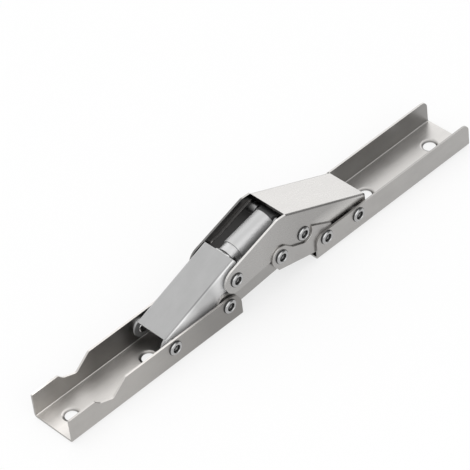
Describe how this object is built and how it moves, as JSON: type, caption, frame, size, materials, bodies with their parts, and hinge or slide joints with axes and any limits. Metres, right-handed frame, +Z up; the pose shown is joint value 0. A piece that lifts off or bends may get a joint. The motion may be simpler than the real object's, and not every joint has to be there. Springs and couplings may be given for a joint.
{
  "type": "folding table hinge",
  "caption": "Folding table hinge in plated pressed steel: screw-on U channels joined by a crossed lever linkage with a sprung locking strut, laid flat.",
  "frame": {"origin": "on the plane of the screwed faces, under the middle of the hinge laid flat", "axes": "+X along the hinge from the left channel to the right channel, +Y across it, +Z up from the screwed faces"},
  "size_m": [0.2414, 0.0286, 0.0355],
  "materials": {
    "channel_steel": "zinc-plated satin sheet",
    "cover_steel": "bright matt zinc plate",
    "plate_steel": "zinc-plated satin sheet",
    "rivet_steel": "bright zinc-plated rivet",
    "washer_steel": "plain zinc-plated washer",
    "polished_steel": "satin drawn tube",
    "plunger_steel": "bright turned bar",
    "spring_steel": "oiled spring wire"
  },
  "bodies": {
    "left_channel": {"left_channel": "channel_steel", "arm_root_rivets": "rivet_steel", "arm_root_spacers": "washer_steel", "lever_root_rivets": "rivet_steel", "lever_root_washers": "washer_steel"},
    "left_arm": {"left_arm": "cover_steel"},
    "lever": {"lever_plate_near": "plate_steel", "lever_plate_far": "plate_steel", "strut_pin": "rivet_steel", "strut_bushes": "washer_steel"},
    "center_cover": {"center_cover": "cover_steel", "crossing_rivets": "rivet_steel", "arm_top_pin": "rivet_steel", "arm_top_washers": "washer_steel"},
    "outer_links": {"outer_link_near": "plate_steel", "outer_link_far": "plate_steel", "link_top_rivets": "rivet_steel", "link_top_washers": "washer_steel"},
    "right_channel": {"right_channel": "channel_steel", "link_root_rivets": "rivet_steel", "cover_root_rivets": "rivet_steel", "cover_root_washers": "washer_steel"},
    "strut_tube": {"spring_tube": "polished_steel"},
    "strut_plunger": {"spring_plunger": "plunger_steel", "lock_spring": "spring_steel"}
  },
  "joints": [
    {"name": "lever_hinge", "type": "hinge", "parent": "left_channel", "child": "lever", "pos_m": [-0.0286, 0, 0.0098], "axis": [0, -1, 0], "range_deg": [0, 99.5]},
    {"name": "arm_hinge", "type": "hinge", "parent": "left_channel", "child": "left_arm", "pos_m": [-0.0607, 0, 0.0094], "axis": [0, -1, 0], "range_deg": [0, 107.3]},
    {"name": "cover_hinge", "type": "hinge", "parent": "lever", "child": "center_cover", "pos_m": [0.0177, 0, 0.0184], "axis": [0, 1, 0], "range_deg": [0, 80.9]},
    {"name": "right_channel_hinge", "type": "hinge", "parent": "center_cover", "child": "right_channel", "pos_m": [0.0491, 0, 0.0083], "axis": [0, -1, 0], "range_deg": [0, 71.4]},
    {"name": "link_hinge", "type": "hinge", "parent": "lever", "child": "outer_links", "pos_m": [0.0033, 0, 0.0156], "axis": [0, 1, 0], "range_deg": [0, 97]},
    {"name": "strut_hinge", "type": "hinge", "parent": "lever", "child": "strut_tube", "pos_m": [0.0084, 0, 0.0284], "axis": [0, 1, 0], "range_deg": [0, 112.1]},
    {"name": "strut_slide", "type": "slide", "parent": "strut_tube", "child": "strut_plunger", "axis": [0.9763, 0, 0.2164], "range_m": [0, 0.00121], "deforming": ["lock_spring"]}
  ],
  "couplings": [
    {"joint": "arm_hinge", "follows": "lever_hinge", "ratio": 1.0774},
    {"joint": "cover_hinge", "follows": "lever_hinge", "ratio": 0.8121},
    {"joint": "right_channel_hinge", "follows": "lever_hinge", "ratio": 0.7166},
    {"joint": "link_hinge", "follows": "lever_hinge", "ratio": 0.9739},
    {"joint": "strut_hinge", "follows": "lever_hinge", "ratio": 1.1256},
    {"joint": "strut_slide", "follows": "lever_hinge", "m_per_rad": 0.000691}
  ]
}
